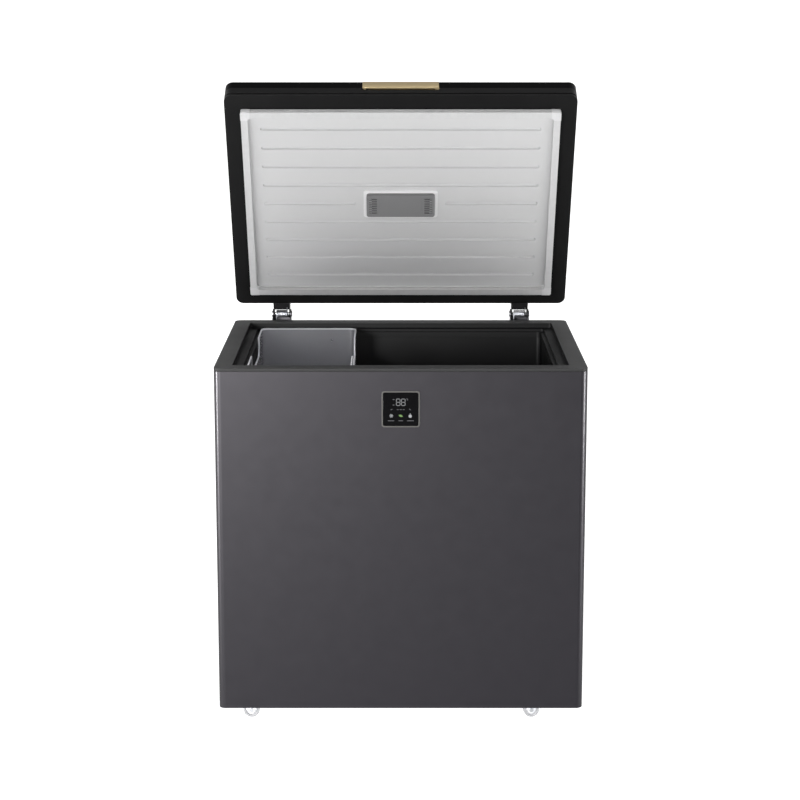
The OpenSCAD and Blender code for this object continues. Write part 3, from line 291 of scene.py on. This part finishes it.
def painted_steel(name, shade, rough, flake=0.12, gloss=0.5, clear=0.0):
    """A paint with flakes, of a base gloss and with a share of clear coat on top."""
    coat = Finish(name)
    cloud = coat.noise(2.2, 3.0)
    sparkle = coat.noise(2600.0, 1.0)
    level = (cloud * 0.35 + sparkle * 0.65).clamped()
    peel = coat.noise(260.0, 2.0, 0.4)
    return coat.shader(
        Base_Color=coat.colour(level, tone(shade, 1 - flake), tone(shade, 1 + flake)),
        Roughness=coat.noise(30.0, 3.0) * 0.08 + (rough - 0.04),
        Specular_IOR_Level=gloss,
        Specular_Tint=VIOLET_SHEEN,
        Coat_Weight=clear,
        Coat_Roughness=0.15,
        Normal=coat.relief(peel, 0.02 * MM, EDGE))


GRAPHITE = (0.008, 0.0074, 0.0102)
graphite_front = painted_steel("graphite_front", GRAPHITE, 0.41, gloss=0.12, clear=0.06)
graphite_back = painted_steel("graphite_back", GRAPHITE, 0.5)
black_pan = painted_steel("black_gloss_pan", (0.001, 0.001, 0.0011), 0.4, 0.08, 0.02)
arm_black = painted_steel("arm_black", (0.006, 0.006, 0.0065), 0.45, 0.1, 0.15)
black_plate = painted_steel("black_plate", (0.012, 0.012, 0.013), 0.5, 0.1, 0.3)
hinge_steel = painted_steel("hinge_steel", (0.045, 0.046, 0.05), 0.38, 0.2, 0.45)
print("painted steels made")

# %% [markdown]
# ## Moulded plastic
# The lid's frame, the liners and the housings are moulded. A mould leaves an even, very fine grain,
# and a large part is never quite the same tone all over. Each could have a material of its own, but
# one recipe covers them all, with its colour, gloss, depth of grain and round of edges as values.

# %% Moulded plastic
GRAIN = 0.03 * MM


def moulded(name, shade, rough, gloss=0.5, grain=GRAIN, edge=EDGE):
    """A moulding with a grain of a depth, on edges that are rounded by a radius."""
    plastic = Finish(name)
    cloud = plastic.noise(3.0, 3.0)
    speck = plastic.noise(1400.0, 1.0)
    level = (cloud * 0.5 + speck * 0.5).clamped()
    return plastic.shader(
        Base_Color=plastic.colour(level, tone(shade, 0.93), tone(shade, 1.07)),
        Roughness=plastic.noise(14.0, 3.0) * 0.1 + (rough - 0.05),
        Specular_IOR_Level=gloss,
        Normal=plastic.relief(speck, grain, edge))


liner_dark = moulded("well_liner", (0.006, 0.006, 0.0066), 0.42, 0.05, 0.02 * MM)
frame_black = moulded("lid_frame_moulding", (0.003, 0.003, 0.0032), 0.42, 0.07)
liner_white = moulded("lid_liner_moulding", (0.56, 0.56, 0.563), 0.5, 0.03, 0.01 * MM, 1.5 * MM)
base_white = moulded("white_base_plate", (0.74, 0.74, 0.745), 0.4, 0.05)
cover_grey = moulded("grey_cover", (0.19, 0.19, 0.193), 0.5, 0.06)
bezel_grey = moulded("bezel_moulding", (0.065, 0.062, 0.056), 0.45, 0.15)
part_black = moulded("black_moulding", (0.025, 0.025, 0.027), 0.45)
pale_part = moulded("pale_moulding", (0.6, 0.6, 0.58), 0.45)
wheel_grey = moulded("roller_moulding", (0.4, 0.4, 0.41), 0.4)
drain_grey = moulded("drain_moulding", (0.07, 0.07, 0.075), 0.5)
sensor_grey = moulded("sensor_moulding", (0.45, 0.46, 0.47), 0.45)
print("moulded plastics made")

# %% [markdown]
# ## The rim, with painted shade in its step
# The top frame is lighter on its flat land, and nearly black in the step inside it; the black of
# the step is painted shade, for the shade that falls below the land. The whole frame is one piece,
# so two materials would need its faces sorted by hand. One material with a mask does it instead:
# the step is what lies both below the land and well inside the outer edge.

# %% Top frame finish
LAND_DEPTH = 3 * MM
LAND_WIDTH = 30 * MM
BLEND = 2 * MM


def rim_with_painted_shade():
    """The land and the step below it, told apart by the frame's own coordinates, with the step
    painted nearly black as painted shade.
    """
    rim = Finish("rim_moulding")
    corners = [Vector(corner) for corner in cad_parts["top_frame"].bound_box]
    low = [min(corner[i] for corner in corners) for i in range(3)]
    high = [max(corner[i] for corner in corners) for i in range(3)]
    below = high[2] - LAND_DEPTH
    step = 1 - rim.steps(rim.axis("Z"), below, below + BLEND)
    for i, name in enumerate("XY"):
        middle, inner = (low[i] + high[i]) / 2, (high[i] - low[i]) / 2 - LAND_WIDTH
        step = step * (1 - rim.steps(abs(rim.axis(name) - middle), inner, inner + BLEND))
    speck = rim.noise(1400.0, 1.0)
    level = (rim.noise(3.0, 3.0) * 0.5 + speck * 0.5).clamped()
    land = rim.colour(level, (0.031, 0.031, 0.0315), (0.037, 0.037, 0.0375))
    return rim.shader(
        # The step's near black is painted shade: the shade that falls below the land, painted into
        # the colour.
        Base_Color=rim.colour(step, land, (0.006, 0.006, 0.0065)),
        Roughness=rim.noise(14.0, 3.0) * 0.1 + 0.5,
        Specular_IOR_Level=0.04,
        Normal=rim.relief(speck, GRAIN, EDGE))


rim_grey = rim_with_painted_shade()
print("rim made")

# %% [markdown]
# ## Rubber and foam
# Rubber scatters light at its surface and shows a soft, dusty bloom, which could be a sheen layer
# but is a cloudy colour here, because that also holds up close. Foam that is poured between two
# skins has small round cells, which a Voronoi pattern gives at the right size.

# %% Rubber and foam
def rubber(name, shade, rough=0.75):
    """A dull skin with a cloudy bloom."""
    skin = Finish(name)
    bloom = skin.noise(90.0, 4.0, 0.6)
    return skin.shader(
        Base_Color=skin.colour(bloom, tone(shade, 0.92), tone(shade, 1.08)),
        Roughness=skin.noise(40.0) * 0.12 + (rough - 0.06),
        Specular_IOR_Level=0.06,
        Normal=skin.relief(skin.noise(900.0, 2.0), 0.04 * MM, 0.5 * MM))


def foam(name, shade):
    """Cut foam with open cells of about a millimetre."""
    block = Finish(name)
    cells = block.node("ShaderNodeTexVoronoi", None, {"Vector": block.place, "Scale": 700.0})
    return block.shader(
        Base_Color=block.colour(cells.clamped(), tone(shade, 1.1), tone(shade, 0.75)),
        Roughness=block.noise(20.0) * 0.1 + 0.85,
        Normal=block.relief(cells, 0.3 * MM))


gasket_white = rubber("gasket_rubber", (0.54, 0.54, 0.543), 0.55)
gasket_block = rubber("gasket_block_rubber", (0.6, 0.6, 0.605), 0.6)
black_rubber = rubber("black_rubber", (0.02, 0.02, 0.02))
pale_rubber = rubber("pale_rubber", (0.55, 0.55, 0.53))
wire_rubber = rubber("wire_sleeve", (0.5, 0.5, 0.47), 0.5)
wall_foam = foam("wall_foam", (0.72, 0.62, 0.36))
carbon_felt = rubber("carbon_felt", (0.02, 0.02, 0.02), 0.95)
print("rubbers and foam made")

# %% [markdown]
# ## Bare and plated metal
# Drawn, rolled and turned metal all carry fine lines from the tool. An anisotropic shader would
# smear the highlight the same way, but it shows no single lines. A noise that is stretched along
# one axis gives them, both as a change of gloss and as a very shallow bump.

# %% Metals
ZINC = (0.42, 0.43, 0.45)


def metal(name, shade, rough, stretch=(1, 40, 40), wear=0.12):
    """Bare metal with tool lines along the axis that is stretched least."""
    bare = Finish(name)
    lines = bare.noise(60.0, 4.0, 0.6, stretch)
    cloud = bare.noise(25.0, 3.0)
    return bare.shader(
        Base_Color=bare.colour((lines * 0.5 + cloud * 0.5).clamped(),
                               tone(shade, 1 - wear), tone(shade, 1 + wear)),
        Metallic=1.0,
        Roughness=lines * 0.14 + (rough - 0.07),
        Normal=bare.relief(lines, 0.01 * MM, 0.4 * MM))


champagne = metal("champagne_handle", (0.33, 0.265, 0.155), 0.42, (1, 60, 60), 0.08)
zinc_plate = metal("zinc_plated_sheet", ZINC, 0.42, (1, 1, 1), 0.2)
turned_steel = metal("turned_steel", (0.26, 0.265, 0.275), 0.34, (1, 1, 1))
spring_wire = metal("spring_wire", (0.11, 0.112, 0.12), 0.4)
copper_pipe = metal("copper_pipe", (0.7, 0.36, 0.2), 0.3, (1, 1, 1), 0.18)
bright_pipe = metal("bright_pipe", (0.7, 0.71, 0.73), 0.35, (1, 1, 1), 0.1)
print("metals made")

# %% [markdown]
# ## Glass and clear plastic
# The touch panel is printed black on the back of the glass, so it is nearly black with a faint,
# sharp sheen on top. The basket is a smoke-tinted clear moulding. Real refraction would be slow in
# walls this thin and would hardly show, so the basket is made half see through by its alpha, and
# the rolled edge, which is thicker, gets a finish of its own that is almost solid and lighter. The
# lighter tone is a painted highlight, for the light that the thick edge catches.

# %% Glass and clear plastic
def panel_glass():
    """Black printed glass with a faint film on it."""
    glass = Finish("panel_glass")
    film = glass.noise(120.0, 3.0)
    return glass.shader(
        Base_Color=glass.colour(film, (0.002, 0.002, 0.0024), (0.004, 0.004, 0.0046)),
        Roughness=film * 0.05 + 0.06,
        Specular_IOR_Level=0.03)


def smoke_plastic(name, shade, alpha, rough=0.26):
    """A clear moulding with some haze and fine upright scuffs."""
    clear = Finish(name)
    haze = clear.noise(9.0, 3.0)
    scuff = clear.noise(500.0, 2.0, 0.6, (1, 0.1, 1))
    return clear.shader(
        Base_Color=clear.colour(haze, tone(shade, 0.9), tone(shade, 1.1)),
        Alpha=haze * 0.1 + (alpha - 0.05),
        Roughness=scuff * 0.12 + (rough - 0.06),
        Specular_IOR_Level=0.3,
        Normal=clear.relief(scuff, 0.01 * MM))


black_glass = panel_glass()
smoke_wall = smoke_plastic("smoke_wall", (0.33, 0.33, 0.36), 0.55)
# The edge's lighter tone is a painted highlight for the light the thick edge catches; its
# near-solid alpha is its real thickness.
smoke_edge_highlight = smoke_plastic("smoke_edge_highlight", (0.6, 0.6, 0.64), 0.92)
print("glass and clear plastic made")

# %% [markdown]
# ## Circuit boards
# The two boards are green lacquer over copper tracks. They sit inside their housings, so tracks
# drawn one by one would be lost. A brick pattern of a few millimetres stands for them, under the
# lacquer's gloss.

# %% Circuit boards
def circuit_board():
    """Green lacquer with tracks that stand up a little."""
    board = Finish("board_lacquer")
    tracks = board.node("ShaderNodeTexBrick", None, {
        "Vector": board.place, "Scale": 240.0, "Color1": (0, 0, 0, 1), "Color2": (0, 0, 0, 1),
        "Mortar": (1, 1, 1, 1), "Mortar Size": 0.08}, output="Fac")
    return board.shader(
        Base_Color=board.colour(tracks, (0.01, 0.09, 0.035), (0.03, 0.2, 0.08)),
        Roughness=board.noise(60.0) * 0.1 + 0.25,
        Normal=board.relief(tracks, 0.03 * MM))


green_board = circuit_board()
print("boards made")

# %% [markdown]
# ## Each piece gets its finish
# The list pairs every measured piece with one finish. A piece that has no entry would stop the
# script here, so nothing is left in a plain colour.

# %% Give out the finishes
FINISHES = {
    graphite_front: ["outer_shell"],
    graphite_back: ["back_panel"],
    rim_grey: ["top_frame"],
    liner_dark: ["inner_liner"],
    black_pan: ["lid_top_panel"],
    frame_black: ["lid_frame"],
    liner_white: ["lid_liner"],
    gasket_white: ["lid_gasket"],
    gasket_block: ["gasket_corners"],
    black_rubber: ["vent_valve", "cord_gland", "compressor_grommets"],
    champagne: ["handle_insert"],
    base_white: ["deodoriser_base"],
    cover_grey: ["deodoriser_cover"],
    carbon_felt: ["carbon_filter"],
    bezel_grey: ["control_bezel"],
    black_glass: ["control_glass", "digit_display"],
    smoke_wall: ["basket"],
    part_black: ["control_box", "side_grille", "relay_cover", "drain_cap"],
    pale_part: ["power_box"],
    sensor_grey: ["sensor_cover", "temperature_sensor"],
    drain_grey: ["drain_tube"],
    wheel_grey: ["roller_front_left", "roller_front_right", "roller_rear_left",
                 "roller_rear_right"],
    pale_rubber: ["drain_plug"],
    wire_rubber: ["control_harness"],
    wall_foam: ["cabinet_foam", "lid_foam"],
    zinc_plate: ["base_tray", "compressor_hood", "rear_cover", "roller_brackets",
                 "hinge_backing_plates", "lid_backing_plates"],
    hinge_steel: ["hinge_brackets"],
    arm_black: ["hinge_arms"],
    turned_steel: ["hinge_pins", "hinge_bracket_screws", "roller_axles", "roller_screws",
                   "compressor_bolts", "compressor_nuts", "rear_cover_screws"],
    spring_wire: ["hinge_springs", "touch_sensors"],
    black_plate: ["compressor", "compressor_plate"],
    copper_pipe: ["condenser_coil", "filter_drier"],
    bright_pipe: ["evaporator_coil"],
    green_board: ["control_board", "power_board"],
}

for finish, names in FINISHES.items():
    for name in names:
        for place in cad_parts[name].material_slots:
            place.material = finish
missing = set(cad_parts) - {name for names in FINISHES.values() for name in names}
assert not missing, missing
print("finishes given to", len(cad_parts), "pieces")

# %% [markdown]
# ## Thin plates and beads
# The fine pieces are all flat plates or round beads. A plate could be a flattened cube, but marks
# have many outlines, so it is an outline that is pushed out by a thickness. A bead is a curve with
# a round section, which keeps its points easy to read. Both helpers return an object in place.

# %% Helpers for fine pieces
def link(name, data, finish):
    """An object in the scene from its data, with a finish."""
    piece = bpy.data.objects.new(name, data)
    bpy.context.collection.objects.link(piece)
    data.materials.append(finish)
    return piece


def plates(name, outlines, thickness, place, finish):
    """Flat plates in one object: each outline is a list of (x, z), and they face the front."""
    mesh = bmesh.new()
    for outline in outlines:
        back = [mesh.verts.new((x, 0, z)) for x, z in outline]
        front = [mesh.verts.new((x, -thickness, z)) for x, z in outline]
        mesh.faces.new(back)
        mesh.faces.new(front[::-1])
        for i in range(len(outline)):
            j = (i + 1) % len(outline)
            mesh.faces.new((back[j], back[i], front[i], front[j]))
    bmesh.ops.recalc_face_normals(mesh, faces=mesh.faces)
    bmesh.ops.translate(mesh, verts=mesh.verts, vec=place)
    data = bpy.data.meshes.new(name)
    mesh.to_mesh(data)
    mesh.free()
    return link(name, data, finish)


def bead(name, points, radius, finish, closed=False):
    """A round bead along a list of points."""
    data = bpy.data.curves.new(name, "CURVE")
    data.dimensions = "3D"
    data.bevel_depth = radius
    data.bevel_resolution = 3
    line = data.splines.new("POLY")
    line.points.add(len(points) - 1)
    for spot, point in zip(line.points, points):
        spot.co = (*point, 1.0)
    line.use_cyclic_u = closed
    return link(name, data, finish)


print("helpers ready")

# %% [markdown]
# ## The touch panel's marks
# The panel shows two digits with seven strokes each, a row of dashes, and three touch icons. They
# are light that comes through gaps in the black print. A drawn image would give them too, but real
# outlines stay sharp up close, so each mark is a very thin glowing plate on the glass. A stroke is
# a small six-sided plate with pointed ends.

# %% Panel marks
def glow(name, shade, strength):
    """A printed window with light behind it, a little uneven."""
    lit = Finish(name)
    uneven = lit.noise(900.0, 1.0)
    return lit.shader(
        Base_Color=lit.colour(uneven, tone(shade, 0.08), tone(shade, 0.12)),
        Roughness=uneven * 0.1 + 0.4,
        Specular_IOR_Level=0.05,
        Emission_Color=lit.colour(uneven, tone(shade, 0.85), shade),
        Emission_Strength=strength)


white_glow = glow("white_window", (0.8, 0.82, 0.85), 0.45)
digit_glow = glow("digit_window", (0.8, 0.82, 0.85), 0.3)
dim_glow = glow("dim_window", (0.7, 0.7, 0.75), 0.14)
green_glow = glow("green_window", (0.35, 0.62, 0.2), 0.45)

glass_low, glass_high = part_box("control_glass")
PANEL = Vector(((glass_low.x + glass_high.x) / 2, glass_low.y, (glass_low.z + glass_high.z) / 2))
MARK = 0.15 * MM


def stroke(x, z, length, width, upright=False):
    """A stroke with pointed ends round a middle point."""
    half, side = length / 2, width / 2
    outline = [(-half, 0), (-half + side, side), (half - side, side), (half, 0),
               (half - side, -side), (-half + side, -side)]
    if upright:
        outline = [(b, a) for a, b in outline]
    return [(x + a, z + b) for a, b in outline]


STROKE = 1.2 * MM
STROKE_SHARE = 0.9


def digit(x, z, wide, tall):
    """An eight, in seven strokes: three lie and four stand."""
    half = tall / 2
    strokes = [(0, half, False), (wide / 2, half / 2, True), (wide / 2, -half / 2, True),
               (0, -half, False), (-wide / 2, -half / 2, True), (-wide / 2, half / 2, True),
               (0, 0, False)]
    return [stroke(x + a, z + b, (half if upright else wide) * STROKE_SHARE, STROKE, upright)
            for a, b, upright in strokes]


def turned(outline, angle, middle):
    """An outline that is turned by an angle and then moved to a middle point."""
    c, s = math.cos(angle), math.sin(angle)
    return [(middle[0] + x * c - z * s, middle[1] + x * s + z * c) for x, z in outline]


def dash(length, width, angle, middle):
    """A plain bar."""
    half, side = length / 2, width / 2
    return turned([(-half, -side), (half, -side), (half, side), (-half, side)], angle, middle)


def disc(x, z, radius, sides=20):
    """A round plate."""
    return [(x + radius * math.cos(a), z + radius * math.sin(a))
            for a in (2 * math.pi * i / sides for i in range(sides))]


DIGITS_Z = 15.5 * MM
DIGIT_HALF_GAP = 5.5 * MM
DIGIT_WIDE, DIGIT_TALL = 8 * MM, 14.5 * MM
marks = digit(-DIGIT_HALF_GAP, DIGITS_Z, DIGIT_WIDE, DIGIT_TALL)
marks += digit(DIGIT_HALF_GAP, DIGITS_Z, DIGIT_WIDE, DIGIT_TALL)
digits = plates("panel_digits", marks, MARK, PANEL, digit_glow)

side_marks = [dash(4 * MM, 1.2 * MM, 0, (-15.5 * MM, DIGITS_Z + 6 * MM)),
              dash(4 * MM, 1.2 * MM, 0, (-15.5 * MM, DIGITS_Z - 6 * MM)),
              dash(2.6 * MM, 1.1 * MM, 0, (13.5 * MM, DIGITS_Z + 7.4 * MM)),
              dash(1.1 * MM, 2.6 * MM, 0, (15 * MM, DIGITS_Z + 5.6 * MM))]
side_marks += [dash(4 * MM, 1 * MM, 0, (i * 6.4 * MM, -0.8 * MM)) for i in (-1, 0, 1)]
side_marks += [dash(4.5 * MM, 1 * MM, -side * 0.55, (side * 20 * MM, -0.6 * MM))
               for side in (-1, 1)]
side_marks += [dash(width * MM, 1.1 * MM, 0, (x * MM, -25.5 * MM))
               for x, width in ((-21, 14), (0, 10), (21, 15))]
small_marks = plates("panel_small_marks", side_marks, MARK, PANEL, dim_glow)

ICON_Z = -14.5 * MM
ICON_X = 20.5 * MM


def snow_star(x, z, reach):
    """Six arms with a short crossbar on each."""
    arms = []
    for i in range(6):
        angle = math.pi / 3 * i
        point = (x + reach / 2 * math.cos(angle), z + reach / 2 * math.sin(angle))
        arms.append(dash(reach, 0.9 * MM, angle, point))
        bar = (x + reach * 0.7 * math.cos(angle), z + reach * 0.7 * math.sin(angle))
        arms.append(dash(2.2 * MM, 0.8 * MM, angle + math.pi / 2, bar))
    return arms


def leaf(x, z, length, width, angle, parts=8):
    """A leaf with two curved sides that meet in points."""
    upper = [(-length / 2 + length * i / parts, width / 2 * math.sin(math.pi * i / parts))
             for i in range(parts + 1)]
    lower = [(a, -b) for a, b in upper[-2:0:-1]]
    return turned(upper + lower, angle, (x, z))


icon_plates = snow_star(-ICON_X, ICON_Z, 4.2 * MM)
icon_plates += [disc(ICON_X, ICON_Z - 0.8 * MM, 3.6 * MM),
                stroke(ICON_X, ICON_Z + 4 * MM, 4 * MM, STROKE, True)]
icons = plates("panel_icons", icon_plates, MARK, PANEL, white_glow)
leaf_icon = plates("panel_leaf_icon", [leaf(0, ICON_Z, 10 * MM, 5 * MM, -0.35)], MARK, PANEL,
                   green_glow)
for piece in (digits, small_marks, icons, leaf_icon):
    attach(piece, "cabinet")
print("panel marks:", len(marks), "strokes in the digits")

# %% [markdown]
# ## The basket's thick edge
# A clear moulding catches the most light where it is thickest, and here that light is painted into
# the edge as a lighter tone, a painted highlight. The basket has a rolled edge all round, which
# runs down into the hand dip on each side. A bevel on the measured basket could not carry a finish
# of its own, so the edge is one closed bead that follows the wall.

# %% Basket edge
HOOK_REACH = 8 * MM
HALF_WALL = 1 * MM
EDGE_RADIUS = 2.2 * MM
DIP, DIP_ROUND, CORNER = 44 * MM, 18 * MM, 15 * MM

basket_low, basket_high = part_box("basket")
wall_low_y = basket_low.y + HOOK_REACH
wall_high_y = basket_high.y - HOOK_REACH


def quarter(start, parts=6):
    """The angles of a quarter turn."""
    return [start + math.pi / 2 * i / parts for i in range(parts + 1)]


def basket_edge_points():
    """The edge, from the front wall round to the front wall again."""
    top = basket_high.z
    middle = (wall_low_y + wall_high_y) / 2
    reach = (wall_high_y - wall_low_y) / 4
    left, right = basket_low.x + HALF_WALL, basket_high.x - HALF_WALL
    front, back = wall_low_y + HALF_WALL, wall_high_y - HALF_WALL

    def arc(cx, cy, start):
        return [(cx + CORNER * math.cos(a), cy + CORNER * math.sin(a), top)
                for a in quarter(start)]

    def dip(x, way):
        """Down into the dip and up again, going to the back (1) or to the front (-1)."""
        profile = [(-reach, 0.0)]
        profile += [(-reach + DIP_ROUND * (1 - math.cos(a)), -DIP + DIP_ROUND * (1 - math.sin(a)))
                    for a in quarter(0)]
        profile += [(-y, z) for y, z in profile[::-1]]
        return [(x, middle + way * y, top + z) for y, z in profile]

    return (arc(right - CORNER, front + CORNER, -math.pi / 2) + dip(right, 1)
            + arc(right - CORNER, back - CORNER, 0)
            + arc(left + CORNER, back - CORNER, math.pi / 2) + dip(left, -1)
            + arc(left + CORNER, front + CORNER, math.pi))


basket_edge = bead("basket_edge", basket_edge_points(), EDGE_RADIUS, smoke_edge_highlight, closed=True)
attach(basket_edge, "basket")
print("basket edge:", len(basket_edge.data.splines[0].points), "points")
